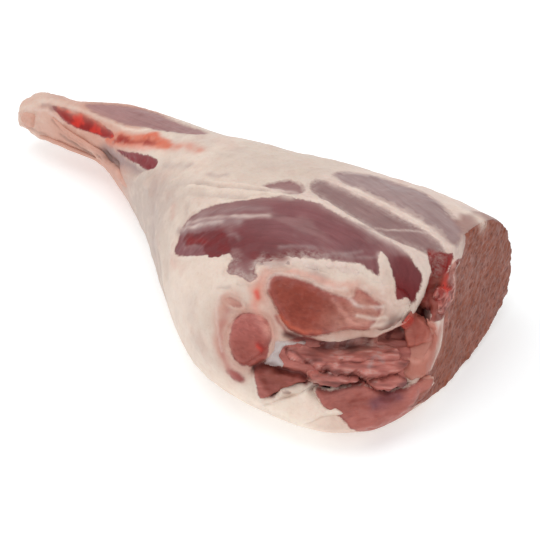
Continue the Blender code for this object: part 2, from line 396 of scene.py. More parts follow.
# Drawn lines: tone, half width, strength, rise (in millimetres, but for the strength), face and route.
STROKES = (
    # The seams between the muscles of the thigh.
    ("fascia", 2.6, 0.9, 1.0, "top",
     [(60, 1), (80, 4), (100, 5), (118, 3), (134, 0), (150, -1), (164, 0), (172, 2), (177, -6)]),
    ("white_fat", 0.8, 0.6, 0.4, "top", [(100, 6), (118, 3), (134, 0), (150, 0)]),
    ("fascia", 2.6, 0.8, 0.9, "top", [(84, 30), (101, 28), (131, 27), (145, 26), (162, 24), (178, 21)]),
    ("white_fat", 0.9, 0.6, 0.3, "top", [(101, 28), (131, 27), (145, 26), (162, 24)]),
    ("fascia", 0.9, 0.7, 0.3, "top", [(137, 4), (146, 9), (156, 17), (163, 20)]),
    ("film", 5.0, 0.6, 0.0, "top", [(158, 36), (166, 38), (172, 36)]),
    ("white_fat", 5.0, 0.7, 0.0, "top", [(162, 61), (172, 64), (179, 60)]),
    # The main muscle's skin and its ragged edges.
    ("fascia", 1.9, 0.8, 0.6, "shoulder", [(24, 28), (38, 36), (51, 42), (60, 46), (69, 50), (77, 54)]),
    ("film", 3.2, 0.6, 0.3, "shoulder", [(26, 32), (36, 40), (50, 47), (62, 53), (72, 57)]),
    ("film", 3.2, 0.9, 0.4, "shoulder", [(22, 22), (31, 27), (41, 33), (52, 39), (62, 43)]),
    ("fascia", 1.6, 0.7, 0.4, "shoulder", [(23, 24), (32, 28), (42, 34), (51, 38)]),
    ("film", 2.5, 0.5, 0.2, "shoulder", [(36, 33), (45, 36), (54, 40)]),
    ("wine", 3.2, 0.8, -0.3, "shoulder", [(55, 33), (57, 28), (54, 24)]),
    ("blood", 2.6, 0.75, 0.0, "shoulder", [(35, 19), (42, 22), (49, 23)]),
    ("film", 1.6, 0.5, 0.2, "shoulder", [(63, 33), (68, 35), (72, 33)]),
    ("wine", 2.8, 0.75, -0.3, "shoulder", [(88, 28), (96, 30), (106, 34)]),
    ("bare_muscle", 4.0, 0.6, 0.0, "shoulder", [(70, 30), (80, 34), (92, 38), (104, 41)]),
    ("film", 1.5, 0.6, 0.3, "shoulder", [(100, 39), (105, 42), (112, 46), (118, 47)]),
    ("film", 1.5, 0.6, 0.3, "shoulder", [(126, 46), (131, 49), (138, 53), (142, 57)]),
    ("film", 1.3, 0.6, 0.3, "shoulder", [(92, 24), (99, 27), (107, 30)]),
    ("film", 1.2, 0.5, 0.3, "shoulder", [(136, 50), (144, 53), (150, 57)]),
    ("fascia", 2.2, 0.6, 0.2, "shoulder", [(152, 60), (156, 54), (159, 46), (161, 40)]),
    ("fascia", 3.0, 0.6, 0.2, "shoulder", [(112, 34), (122, 38), (133, 42), (146, 46)]),
    # Painted shade in a small dimple.
    ("grey_fat_and_shade", 3.2, 0.8, -1.6, "shoulder", [(124, 34), (127, 33), (130, 32)]),
    # Pale flush and blood round the two cut ends.
    ("halo", 3.0, 0.7, 0.0, "shoulder",
     [(100, 22), (101, 14), (102, 8), (104, 1), (111, -5), (119, -10)]),
    ("halo", 2.4, 0.6, 0.0, "shoulder", [(107, 28), (122, 31), (136, 32), (146, 37)]),
    ("orange_fat", 4.2, 0.55, 0.2, "shoulder", [(100, 10), (102, 8), (104, 6)]),
    ("fresh", 1.7, 0.85, 0.5, "shoulder", [(101, 9), (103, 7)]),
    ("fascia", 1.2, 0.7, 0.6, "shoulder",
     [(105, 14), (104, 20), (108, 25), (121, 28), (134, 29), (146, 33)]),
    ("pink_fat", 2.0, 0.6, 0.0, "shoulder", [(107, 6), (113, 0), (120, -6), (128, -8), (137, -6)]),
    ("pink_fat", 5.0, 0.95, 0.0, "shoulder", [(91, 1), (89, -10), (92, -22), (98, -34), (106, -42)]),
    ("pale_lobe", 2.4, 0.7, 0.0, "shoulder", [(93, -8), (93, -18), (98, -30), (104, -38)]),
    ("fascia", 1.1, 0.6, 0.5, "shoulder", [(84, -2), (86, -10), (92, -20), (98, -30)]),
    ("pink_fat", 3.5, 0.6, 0.2, "shoulder", [(88, -2), (94, -1), (100, -4)]),
    ("blood", 1.8, 0.7, 0.0, "corner", [(23, 57), (25, 55), (24, 53)]),
    ("fresh", 1.2, 0.6, 0.0, "corner", [(22, 56), (24, 54)]),
    ("pale_lobe", 1.8, 0.7, 0.4, "corner", [(9, 65), (14, 69), (21, 69), (28, 66)]),
    ("blood", 2.4, 0.5, 0.0, "corner", [(7, 42), (11, 40)]),
    # Fat strands across the pink end of the near muscle, and its lip.
    ("fascia", 1.1, 0.8, 0.7, "shoulder", [(147, 28), (153, 27), (160, 29), (167, 33)]),
    ("pink_lobe", 2.4, 0.7, 0.0, "shoulder", [(147, 33), (153, 31), (160, 27), (166, 26)]),
    ("white_fat", 1.2, 0.7, 0.7, "shoulder", [(155, 21), (162, 23), (168, 27)]),
    ("halo", 1.4, 0.6, 0.3, "shoulder", [(140, 24), (147, 20), (155, 16), (163, 20)]),
    ("fascia", 1.0, 0.6, 0.5, "shoulder", [(150, 38), (158, 37), (166, 36), (171, 38)]),
    ("white_fat", 1.3, 0.8, 0.7, "shoulder", [(162, 19), (168, 23), (173, 30), (175, 38)]),
    ("blood", 1.0, 0.7, 0.0, "shoulder", [(116, 1), (124, -4), (132, -5), (140, -2)]),
    ("orange_fat", 1.2, 0.7, 0.0, "shoulder", [(118, 2), (126, -1), (134, 0), (141, 4)]),
    # The folds of thin skin at the knee and on the flank: white along the raised ridges, partly painted
    # highlight, with painted shade along the grooves below them and over the lower flank.
    ("white_fat", 1.7, 0.6, 1.7, "shoulder",
     [(-12, 46), (8, 50), (28, 56), (48, 62), (66, 66), (80, 69)]),
    ("white_fat", 1.3, 0.5, 1.5, "shoulder", [(15, 57), (30, 61), (45, 65), (60, 68)]),
    ("white_fat", 1.2, 0.4, 1.1, "shoulder", [(-30, 43), (-12, 50), (6, 55)]),
    ("grey_fat_and_shade", 1.9, 0.8, -1.5, "shoulder", [(-10, 50), (10, 54), (30, 58), (47, 63), (62, 67)]),
    ("grey_fat_and_shade", 2.4, 0.6, -1.5, "shoulder", [(-24, 38), (-4, 43), (16, 47), (36, 53), (52, 58)]),
    ("film", 2.5, 0.5, 0.0, "shoulder", [(12, 62), (18, 63), (24, 66)]),
    ("shaded_fat", 3.0, 0.6, 0.0, "shoulder", [(6, 77), (12, 79)]),
    ("grey_fat_and_shade", 6.0, 0.6, -1.0, "shoulder", [(-34, 44), (-26, 34), (-18, 20), (-8, 6), (6, -10)]),
    ("grey_fat_and_shade", 3.0, 0.5, -1.2, "shoulder", [(4, 2), (12, -8), (22, -20)]),
    ("shaded_fat", 6.0, 0.5, -0.8, "shoulder", [(8, 20), (16, 6), (26, -8)]),
    ("grey_fat_and_shade", 2.5, 0.5, -0.8, "shoulder", [(15, 38), (19, 32), (24, 24)]),
    ("orange_fat", 3.0, 0.22, 0.0, "shoulder", [(4, 33), (8, 28)]),
    ("orange_fat", 3.0, 0.18, 0.0, "shoulder", [(26, 2), (33, 1)]),
    ("grey_fat_and_shade", 1.0, 0.7, -0.8, "shoulder", [(79, 2), (83, 3), (87, 5)]),
    # Blood and stained fat along the shank, with painted shade along the tendon's lower edge and the edges
    # of the grey hollow.
    ("orange_fat", 1.1, 0.8, 0.0, "shoulder", [(-158, 63), (-140, 65), (-124, 65), (-112, 63)]),
    ("halo", 2.6, 0.7, 0.3, "shoulder", [(-104, 55), (-88, 56), (-72, 59), (-58, 62), (-44, 64)]),
    ("orange_fat", 2.6, 0.9, 0.9, "shoulder", [(-68, 68), (-63, 73), (-57, 70)]),
    ("orange_fat", 4.6, 0.6, 0.4, "shoulder", [(-52, 68), (-38, 69), (-28, 74), (-15, 74)]),
    ("blood", 1.9, 0.8, -0.4, "shoulder", [(-100, 60), (-88, 60), (-76, 62), (-64, 66), (-56, 67)]),
    ("fat", 2.6, 0.6, 0.3, "shoulder", [(-50, 63), (-34, 64), (-18, 66), (-4, 68)]),
    ("white_fat", 1.5, 0.85, 0.6, "shoulder",
     [(-150, 66), (-135, 68), (-115, 68), (-100, 68), (-83, 69), (-72, 74)]),
    ("silverskin", 2.2, 0.7, 0.0, "shoulder", [(-170, 60), (-165, 61), (-161, 60)]),
    ("grey_fat_and_shade", 3.6, 0.7, -0.6, "shoulder", [(-33, 56), (-22, 59), (-10, 62)]),
    ("crease_shade", 1.8, 0.8, -1.4, "shoulder", [(-116, 46), (-104, 45), (-92, 43), (-75, 42), (-58, 41)]),
    ("crease_shade", 1.3, 0.7, -1.0, "shoulder", [(-150, 46), (-140, 44), (-130, 43), (-118, 42)]),
    ("fascia", 1.2, 0.6, 0.5, "shoulder", [(-184, 52), (-170, 56), (-160, 57), (-148, 54)]),
    ("crease_shade", 1.1, 0.4, -0.7, "shoulder", [(-158, 53), (-144, 49), (-130, 46)]),
    ("film", 2.0, 0.5, 0.3, "shoulder", [(-112, 49), (-96, 48), (-78, 46), (-60, 45)]),
    ("pink_fat", 5.0, 0.6, 0.0, "shoulder", [(-150, 66), (-128, 68), (-106, 66), (-90, 66)]),
    ("fat", 4.0, 0.5, 0.0, "shoulder", [(-176, 62), (-160, 66), (-146, 68)]),
    ("fat", 1.6, 0.5, 0.5, "shoulder", [(-190, 50), (-184, 54), (-176, 57)]),
    ("pink_fat", 2.2, 0.4, 0.0, "side", [(-190, 33), (-184, 28), (-176, 25)]),
    ("crease_shade", 1.2, 0.4, -0.6, "side", [(-186, 29), (-176, 26), (-164, 26)]),
    # Cuts darkened with painted shade, pale skin, painted sheen on the torn layers and wet blood in the
    # torn corner.
    ("pink_fat", 4.5, 0.6, 0.0, "corner", [(70, 61), (84, 57), (92, 55), (100, 57), (107, 60)]),
    # Painted shade along the bottoms of the sunken cuts.
    ("pit", 1.3, 0.9, -1.6, "corner", [(39, 54), (43, 52), (50, 47), (58, 44)]),
    ("pit", 1.0, 0.8, -1.2, "corner", [(58, 44), (75, 42), (80, 40), (88, 38)]),
    ("pit", 2.4, 0.95, -2.5, "corner",
     [(40, 61), (52, 58), (63, 55), (72, 56), (84, 57), (97, 54), (104, 55)]),
    ("pit", 3.2, 0.95, -3.0, "corner", [(103, 54), (107, 54), (111, 52)]),
    ("pit", 1.8, 0.95, -2.2, "corner", [(20, 45), (30, 47), (35, 44), (45, 41), (54, 39)]),
    ("pit", 1.6, 0.9, -1.4, "corner", [(30, 30), (44, 33), (54, 36), (68, 35), (80, 37)]),
    ("halo", 1.6, 0.65, 0.5, "corner", [(127, 36), (131, 46), (129, 56), (123, 61)]),
    ("fascia", 0.9, 0.7, 0.4, "corner", [(111, 48), (112, 53), (116, 58), (122, 60)]),
    ("halo", 1.3, 0.6, 0.3, "corner", [(112, 43), (120, 42), (126, 46)]),
    # Painted sheen on the torn layers.
    ("film", 1.2, 0.8, 0.5, "corner", [(86, 44), (90, 46), (95, 45)]),
    ("film", 1.2, 0.6, 0.4, "corner", [(64, 50), (73, 50), (82, 50)]),
    ("pink_fat", 1.0, 0.6, 0.3, "corner", [(49, 37), (52, 39), (56, 40)]),
    ("fresh", 1.4, 0.8, 0.4, "corner", [(106, 58), (110, 60), (114, 62)]),
    # Painted purple sheen on the skin of the lower flap.
    ("purple", 3.4, 0.85, 0.2, "corner", [(88, 24), (95, 25), (102, 26)]),
    ("white_fat", 1.2, 0.8, 0.6, "corner", [(24, 26), (33, 28), (44, 28), (53, 30)]),
    # The rim of the sawn face, the wet notch above it and the skin along its near edge.
    ("halo", 2.4, 0.8, 0.6, "end", [(21, 83), (19, 76), (18, 68), (13, 61)]),
    ("column", 5.0, 0.9, 0.0, "end", [(6, 50), (-4, 46), (-8, 38), (-16, 33), (-24, 30)]),
    ("fresh", 2.4, 0.85, -0.4, "end", [(11, 80), (9, 76), (8, 71)]),
    ("blood", 1.8, 0.9, -2.0, "end", [(7, 78), (4, 72), (0, 67)]),
    # Painted shade in a small cut beside the notch.
    ("pit", 0.9, 0.7, -1.0, "end", [(3, 63), (8, 62), (14, 65)]),
    ("fascia", 1.1, 0.8, 0.5, "end", [(4, 55), (1, 47), (-2, 39), (-8, 35), (-14, 30)]),
)
LINES = [(name, wide, strength, rise, on_leg(face, route))
         for name, wide, strength, rise, face, route in STROKES]


# ---------------------------------------------------------------- meshes

def link(name, mesh):
    piece = bpy.data.objects.new(name, mesh)
    bpy.context.scene.collection.objects.link(piece)
    return piece


def settle(piece):
    """Applies a piece's modifiers to its mesh."""
    graph = bpy.context.evaluated_depsgraph_get()
    mesh = bpy.data.meshes.new_from_object(piece.evaluated_get(graph))
    piece.modifiers.clear()
    piece.data = mesh
    mesh.name = piece.name


def places_of(mesh):
    co = np.zeros(len(mesh.vertices) * 3)
    mesh.vertices.foreach_get("co", co)
    no = np.zeros(len(mesh.vertices) * 3)
    mesh.vertex_normals.foreach_get("vector", no)
    return co.reshape(-1, 3) / MM, no.reshape(-1, 3)


def move_to(mesh, places):
    mesh.vertices.foreach_set("co", (places * MM).ravel())
    mesh.update()


def write(mesh, name, values):
    values = np.asarray(values, np.float32)
    if values.ndim == 1:
        mesh.attributes.new(name, "FLOAT", "POINT").data.foreach_set("value", values)
    else:
        rgba = np.ones((len(values), 4), np.float32)
        rgba[:, :3] = np.clip(values, 0, 1)
        mesh.attributes.new(name, "FLOAT_COLOR", "POINT").data.foreach_set("color", rgba.ravel())


def relaxed(piece, rounds):
    if rounds:
        relax = piece.modifiers.new("relax", "SMOOTH")
        relax.factor = 0.5
        relax.iterations = rounds
    settle(piece)


def finish_piece(piece, material):
    piece.data.materials.clear()
    piece.data.materials.append(made[material])
    piece.data.shade_smooth()
    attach(piece, BODY)
    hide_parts(CAD_NODE)
    return piece


# ---------------------------------------------------------------- tissue marks

TORN_ALONG = (0.74, 0.6, -0.25)  # the way the torn layers run

# How each muscle's grain runs: region, direction, and how long and how wide its streaks are.
FIBRES = (
    ("far", (1, -0.15, 0), 26, 3.0), ("film", (1, -0.3, 0), 26, 4.0), ("shank", (1, -0.15, 0.2), 30, 3.0),
    ("butt", (0, 0.8, 0.5), 6.0, 1.7), ("torn", TORN_ALONG, 18, 3.4), ("flap", (0.6, 0.7, 0), 8, 2.6),
    ("lobes", (0.6, 0.5, -0.4), 7, 3.4))
MAIN_CENTRE = (115.0, -100.0)  # the main muscle's fibres run in arcs round this place


def fibre_marks(places, regions):
    """Stretched coordinates that make grain run along each muscle."""
    marks = places / 7.0
    middle = np.array(MAIN_CENTRE)
    radius = np.linalg.norm(places[:, :2] - middle, axis=1)
    angle = np.arctan2(places[:, 1] - middle[1], places[:, 0] - middle[0])
    arcs = np.stack([angle * 90 / 30, radius / 3.4, places[:, 2] / 8], 1)
    marks = np.where((regions["main"] > -3)[:, None], arcs, marks)
    for key, along, long, short in FIBRES:
        a = Vector(along).normalized()
        b = a.cross(Vector((0.3, -0.2, 1))).normalized()
        c = a.cross(b)
        axes = np.array([a[:], b[:], c[:]]).T
        local = places @ axes / np.array([long, short, short])
        marks = np.where((regions[key] > -2)[:, None], local, marks)
    return marks


# The plane of the sawn face: its outward direction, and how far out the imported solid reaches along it.
SAW_FACING = (0.98, 0.06, 0.15)
SAW_PLANE = np.array(SAW_FACING) / np.linalg.norm(SAW_FACING)
SAW_OFFSET = max(np.array(v.co) @ SAW_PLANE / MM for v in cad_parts[CAD_NODE].data.vertices)


def leg_regions(places, normals):
    """Depth inside each kind of tissue, in millimetres."""
    def at(outline, reach=16.0):
        return inside_depth(places, normals, outline, reach)

    wobble = 1.0 * rough(places, 7.0, 3) + 0.5 * rough(places, 3.0, 5)
    ragged = 3.0 * rough(places, 7.0, 7) + 2.0 * rough(places, 3.0, 8)
    low_edge = smooth(-20, -45, places[:, 1]) * smooth(60, 85, places[:, 0])
    sawn = 8.0 + 6.0 * (places @ SAW_PLANE - SAW_OFFSET)
    regions = {
        "main": at(MAIN_MUSCLE, 22) + wobble * 0.6 + ragged * low_edge,
        "far": at(FAR_MUSCLE) + wobble,
        "film": at(FAR_FILM) + 2 * wobble,
        "knee": at(KNEE_PATCH) + wobble,
        "lobe_a": at(LOBE_A) + 0.4 * wobble,
        "lobe_b": at(LOBE_B) + 0.4 * wobble,
        "lobe_c": at(LOBE_C, 8) + 0.4 * wobble,
        "low_pink": at(LOW_PINK, 8) + wobble,
        "end_spot": at(END_SPOT, 10) + 0.5 * wobble + 0.6 * ragged,
        "shank": at(SHANK_MUSCLE, 10) + wobble,
        "shank_red": at(SHANK_RED, 8) + 0.7 * wobble,
        "shank_wine": at(SHANK_WINE, 9) + 0.6 * wobble,
        "shank_grey": at(SHANK_GREY, 9) + wobble,
        "shank_orange": at(SHANK_ORANGE, 9) + 1.2 * wobble,
        "column": at(COLUMN, 14) + wobble,
        "butt": np.minimum(sawn, at(BUTT, 40)) + 0.5 * wobble,
        "inner": at(INNER, 14) + 0.5 * wobble,
        "notch": at(NOTCH, 12) + 0.5 * wobble,
        "flap": at(FLAP, 16) + wobble,
        "torn": at(TORN, 30) + 0.5 * wobble,
        "dark_wall": at(DARK_WALL, 14) + 0.5 * wobble,
    }
    regions["lobes"] = np.maximum.reduce([regions[k] for k in ("lobe_a", "lobe_b", "lobe_c")])
    return regions


def drawn(places, out=None):
    """How strongly each drawn line marks each place; out is the direction a laid piece is seen from."""
    wander = places + 0.9 * np.stack([rough(places, 5, k) for k in (44, 45, 46)], 1)
    fade = 0.75 + 0.45 * rough(places, 7, 47)
    flat = np.eye(3) if out is None else np.eye(3) - np.outer(out, out)
    marks = []
    for _, width, _, _, route in LINES:
        line = np.array(route, float)
        if out is not None:
            near = (np.abs(places - line.mean(0)) < 25 + np.ptp(line, axis=0) / 2).all(1)
            gap = np.full(len(places), 1e9)
            if near.any():
                gap[near] = line_distance(wander[near] @ flat, line @ flat)
        else:
            gap = line_distance(wander, route)
        marks.append(bell(gap, width) * np.clip(fade, 0, 1))
    return marks


def gap_width(places, normals, reach=22.0):
    """How far each place looks across a gap before it meets meat again, in millimetres."""
    width = np.full(len(places), reach)
    torn_end = np.nonzero((places[:, 0] > 80) & (places[:, 1] < 45) & (places[:, 2] > 4))[0]
    for i in torn_end:
        way = Vector(normals[i])
        hit, _, _, far = SOLID.ray_cast(Vector(places[i] * MM) + way * MM, way, reach * MM)
        if hit is not None:
            width[i] = far / MM
    return width


def stain(tones, amount, name):
    return tones + (colour(name) - tones) * np.clip(amount, 0, 1)[:, None]


def fat_tones(places, regions):
    """The colour of fat at each place: creamy on the thigh, grey on the flank with painted shade, salmon at
    the shank.
    """
    x, y, z = places.T
    up = (y + z) * HALF
    cut_near = np.maximum(regions["lobe_a"], regions["lobe_b"])
    tones = np.tile(colour("fat"), (len(places), 1))
    # Painted shade: greyer towards the lower left flank.
    tones = stain(tones, 0.85 * smooth(20, -12, x) * smooth(58, 36, up), "grey_fat_and_shade")
    tones = stain(tones, 0.45 * smooth(40, 10, x) * smooth(66, 48, up), "shaded_fat")
    tones = stain(tones, 0.9 * smooth(-52, -96, x), "tendon")
    tones = stain(tones, 0.7 * smooth(-20, 15, y) * smooth(60, 100, x), "fascia")
    # Greyer low on the far side.
    tones = stain(tones, 0.7 * smooth(20, 45, y) * smooth(60, 30, z) * smooth(-60, 0, x), "grey_fat_and_shade")
    tones = stain(tones, 0.8 * smooth(38, 22, z) * smooth(70, 110, x) * smooth(-50, -80, y), "white_fat")
    # Painted shade on the low near side towards the butt.
    tones = stain(tones, 0.5 * smooth(60, 85, x) * smooth(-70, -86, y) * smooth(30, 46, z), "shaded_fat")
    tones = stain(tones, 0.75 * smooth(-9, -1, cut_near), "pink_fat")
    tones = stain(tones, 0.35 * smooth(152, 168, x) * smooth(-4, -24, y), "pink_fat")
    tones = stain(tones, 0.25 * smooth(0.1, 0.7, rough_sum(places, 30, 11)), "grey_fat_and_shade")
    tones = stain(tones, 0.22 * smooth(0.15, 0.7, rough_sum(places, 20, 14)), "pink_fat")
    tones = stain(tones, 0.18 * smooth(0.1, 0.6, rough_sum(places, 10, 17)), "white_fat")
    tones = stain(tones, 0.9 * smooth(-3, 3, regions["shank_grey"]), "film")
    tones = stain(tones, 0.45 * smooth(-150, -186, x + 8 * rough(places, 12, 75)), "fat")
    tones = stain(tones, 0.9 * smooth(-2, 3, regions["column"]), "column")
    # Greyer along the top between the knee and the thigh, in the shaded fat tone.
    tones = stain(tones, 0.4 * smooth(-10, 15, x) * smooth(95, 75, x) * smooth(60, 70, up), "shaded_fat")
    behind_saw = SAW_OFFSET - places @ SAW_PLANE + 3.0 * rough(places, 9, 77)
    tones = stain(tones, 0.85 * smooth(15, 9, behind_saw) * smooth(22, 45, y) * smooth(35, 55, z), "rim")
    orange = regions["shank_orange"]
    blotchy = smooth(-0.15, 0.4, rough_sum(places, 8, 71))
    tones = stain(tones, 0.8 * smooth(-3, 2, orange), "orange_fat")
    tones = stain(tones, 0.65 * blotchy * smooth(-1, 2, orange) * smooth(-45, -60, x), "blood")
    tones = stain(tones, 0.5 * smooth(0, 0.5, rough_sum(places, 6, 78)) * smooth(-1, 2, orange), "pink_fat")
    return stain(tones, 0.7 * smooth(-4, 4, regions["low_pink"]), "pink_fat")


# The colour of each muscle, laid one over the other: region, tone, softness of its border, strength.
MEAT_TONES = (
    ("film", "film", 4, 0.9), ("far", "far_silverskin", 2, 1.0), ("knee", "milky_silverskin", 2, 0.9),
    ("shank", "shank_skin", 2, 0.95), ("torn", "torn", 2, 1.0), ("flap", "flap", 2, 1.0),
    # The dark wall and the inner strip take torn meat darkened as painted shade.
    ("dark_wall", "shaded_torn", 2, 0.8), ("inner", "shaded_torn", 2, 0.9), ("butt", "butt", 1.2, 1.0),
    ("lobe_a", "lobe", 1.5, 1.0), ("lobe_b", "pale_lobe", 1.5, 1.0), ("lobe_c", "pale_lobe", 2, 0.9),
    ("low_pink", "pale_lobe", 3, 0.8), ("shank_red", "blood", 1.5, 1.0), ("shank_wine", "plum", 1.5, 1.0),
    ("end_spot", "bare_muscle", 1.0, 1.0))


def meat_tones(places, regions):
    """The colour of meat at each place: a tone for each muscle, paler under skin, darker where bare."""
    x, y, z = places.T
    up = (y + z) * HALF
    r = regions
    tones = np.tile(colour("silverskin"), (len(places), 1))
    left_skin = smooth(13, 2, r["main"]) * smooth(80, 45, x) * smooth(30, 38, up)
    tones = stain(tones, 0.75 * left_skin, "milky_silverskin")
    tones = stain(tones, 0.5 * smooth(8, 0, r["main"]) * smooth(55, 66, up), "milky_silverskin")
    tones = stain(tones, 0.8 * smooth(52, 34, up) * smooth(56, 72, x) * smooth(126, 112, x), "bare_muscle")
    tones = stain(tones, 0.75 * smooth(26, 16, up) * smooth(74, 84, x), "milky_silverskin")
    tones = stain(tones, 0.8 * smooth(154, 166, x), "bare_muscle")
    tones = stain(tones, 0.7 * smooth(56, 46, up) * smooth(158, 168, x), "wine")
    clouds = rough_sum(places, 14, 73, stretch=(0.5, 1, 1))
    tones = stain(tones, 0.5 * smooth(0.1, 0.6, clouds), "milky_silverskin")
    for key, name, soft, amount in MEAT_TONES:
        tones = stain(tones, amount * smooth(-soft, soft, r[key]), name)
    patchy = smooth(-0.15, 0.45, rough_sum(places, 8, 72))
    pale_end = smooth(134, 158, x + 5 * rough(places, 9, 74)) * smooth(-1, 2, r["lobe_a"])
    tones = stain(tones, 0.85 * pale_end, "pink_lobe")
    tones = stain(tones, 0.45 * smooth(6, 0, r["lobe_a"]) * smooth(-1, 1, r["lobe_a"]), "pale_lobe")
    tones = stain(tones, 0.5 * smooth(70, 55, z) * smooth(-1, 1, r["lobe_b"]), "lobe")
    deep_red = smooth(-0.1, 0.4, rough_sum(places, 11, 76)) * smooth(-0.5, 1, r["end_spot"])
    tones = stain(tones, 0.8 * deep_red, "wine")
    tones = stain(tones, 0.85 * patchy * smooth(-0.5, 1.5, r["shank_red"]), "fresh")
    tones = stain(tones, 0.5 * patchy * smooth(-1, 2, np.maximum(r["torn"], r["inner"])), "pale_lobe")
    tones = stain(tones, 0.35 * patchy * smooth(0, 3, r["butt"]), "pale_butt")
    tones = stain(tones, 0.4 * smooth(0, -30, y) * smooth(0, 3, r["butt"]), "lobe")
    return stain(tones, 0.95 * smooth(-1.2, 1.2, r["notch"]), "blood")


CRISP = ("main", "lobes", "shank_red", "shank_wine", "butt", "notch", "flap", "torn", "inner", "end_spot")
SOFT = (("far", 0.5), ("knee", 0.4), ("shank", 0.3), ("film", 0.22), ("low_pink", 0.4))


def paint(mesh, places, regions, marks, tissue=None, meat_tone=None, fat_tone=None, cut_amount=None,
          gaps=None, shade=None):
    """Writes the marks that the meat material reads; tissue says that a piece is all meat or all fat."""
    r = regions
    fat, flesh = fat_tones(places, r), meat_tones(places, r)
    if fat_tone:
        fat = stain(fat, np.full(len(places), 0.8), fat_tone)
    if meat_tone:
        flesh = stain(flesh, np.full(len(places), 0.8), meat_tone)
    flesh = flesh * (1 + 0.12 * rough_sum(places, 16, 31))[:, None]
    # Painted shade and light from the relief of a laid piece: flesh darker in its hollows, lighter on its
    # ridges.
    if shade is not None:
        flesh = flesh * (1 + shade)[:, None]
    for (name, _, strength, _, _), mark in zip(LINES, marks):
        fat = stain(fat, strength * mark, name)
        flesh = stain(flesh, strength * mark, name)
    # Painted shade in crevices: places that face meat across a narrow gap darken toward bare muscle, and
    # the narrowest toward the dark pit tone.
    if gaps is not None:
        open_air = 1 - smooth(-1, 2, r["notch"])
        near_gap_shade = smooth(22, 12, gaps) * open_air
        deep = smooth(13, 5, gaps) * open_air
        fat = stain(stain(fat, 0.5 * near_gap_shade, "bare_muscle"), 0.85 * deep, "pit")
        flesh = stain(stain(flesh, 0.45 * near_gap_shade, "bare_muscle"), 0.85 * deep, "pit")

    crisp_depth = np.maximum.reduce([r[k] for k in CRISP])
    meat, crisp = crisp_depth, np.ones(len(places))
    for key, share in SOFT:
        wins = r[key] * share > meat
        meat, crisp = np.where(wins, r[key], meat), np.where(wins, share, crisp)
    faint = smooth(66, 76, places[:, 2]) * (r["lobe_a"] >= crisp_depth)
    crisp = crisp * (1 - 0.6 * faint)
    if tissue is not None:
        meat = np.full(len(places), 8.0 if tissue == "meat" else -8.0)
    cut = np.maximum(smooth(-1, 1, r["butt"]), 0.25 * smooth(-1, 1, np.maximum(r["torn"], r["lobes"])))
    if cut_amount is not None:
        cut = np.full(len(places), cut_amount)
    fringe = bell(r["main"] - 1.5, 3.5) * smooth(-20, -40, places[:, 1]) * smooth(70, 85, places[:, 0])
    milky = np.maximum.reduce([0.6 * fringe, 0.4 * bell(r["far"] - 1, 3.0)])
    write(mesh, "meat", np.clip(meat, -8, 8))
    write(mesh, "crisp", crisp)
    write(mesh, "cut", cut)
    write(mesh, "film", np.clip(milky, 0, 1))
    write(mesh, "fat_tone", fat)
    write(mesh, "meat_tone", flesh)
    marks = fibre_marks(places, r).astype(np.float32)
    mesh.attributes.new("fibre", "FLOAT_VECTOR", "POINT").data.foreach_set("vector", marks.ravel())


def grain_of(marks, scale=1.2):
    return np.array([noise.noise(v) for v in (marks * scale).tolist()])


def carve_leg(places, regions, marks):
    """Relief in millimetres, along the surface's own direction."""
    r, s = regions, sizes()
    x, y, z = places.T
    rise = 0.7 * rough_sum(places, 22, 21) + 0.25 * rough_sum(places, 5, 22)
    far_side = smooth(45, 75, y) * smooth(8, 20, z) * smooth(-30, 10, x)
    rise += 1.6 * rough_sum(places, 38, 24) * far_side
    bare = np.maximum.reduce([r[k] for k in ("main", "far", "knee", "shank")])
    rise -= s.muscle_step / MM * smooth(-1.5, 1.5, bare)
    wander = places + 1.5 * np.stack([rough(places, 6, k) for k in (41, 42, 43)], 1)
    for (_, _, _, high, _), mark in zip(LINES, marks):
        rise += s.line_relief * high * mark
    rise += s.lobe_rise / MM * 0.6 * smooth(-4, 6, r["lobe_a"])
    rise += 0.8 * bell(r["lobes"] + 1.5, 1.5)
    grain = grain_of(fibre_marks(places, r))
    rise += s.butt_grain / MM * 1.8 * grain * smooth(1, 5, np.maximum(r["butt"], r["flap"]))
    rise += s.tear_depth / MM * grain * smooth(-1, 3, np.maximum(r["torn"], r["inner"]))
    rise += 0.45 * grain * smooth(0, 3, r["main"])
    rise -= 1.6 * smooth(-1, 2, r["shank_red"])
    rise -= 2.0 * smooth(-2, 4, r["shank_wine"]) + 3.0 * smooth(-4, 3, r["shank_grey"])
    rise -= 2.0 * smooth(-1, 3, r["notch"]) + 3.0 * smooth(-1, 4, r["dark_wall"])
    rise -= 6.0 * bell(line_distance(wander, OPENING), 3.0)
    rise -= 5.0 * bell(line_distance(wander, SLIT), 2.6)
    rise += smooth(-158, -175, x) * (1.8 * rough_sum(places, 9, 51) - 0.4)
    return rise


# ---------------------------------------------------------------- pieces laid on the leg

class Ground:
    """The finished leg surface that other pieces are laid on."""
    tree = None

    @classmethod
    def take(cls, mesh):
        cls.tree = tree_of(mesh)

    @classmethod
    def nearest(cls, place):
        at, normal, *_ = cls.tree.find_nearest(Vector(place) * MM)
        return np.array(at) / MM, np.array(normal)

    @classmethod
    def below(cls, place, direction, reach=60.0):
        at, *_ = cls.tree.ray_cast(Vector(place) * MM, Vector(-direction), reach * MM)
        return None if at is None else np.array(at) / MM


def grain_marks(places, fibres, out, seed):
    """Stretched coordinates that make grain run along a laid piece."""
    if fibres is None:
        return places / 5.0 + seed * 7.7
    direction, long, short = fibres
    along = Vector(direction).normalized()
    across = along.cross(Vector(out)).normalized()
    axes = np.array([along[:], across[:], along.cross(across)[:]]).T
    return places @ axes / np.array([long, short, short]) + seed * 7.7


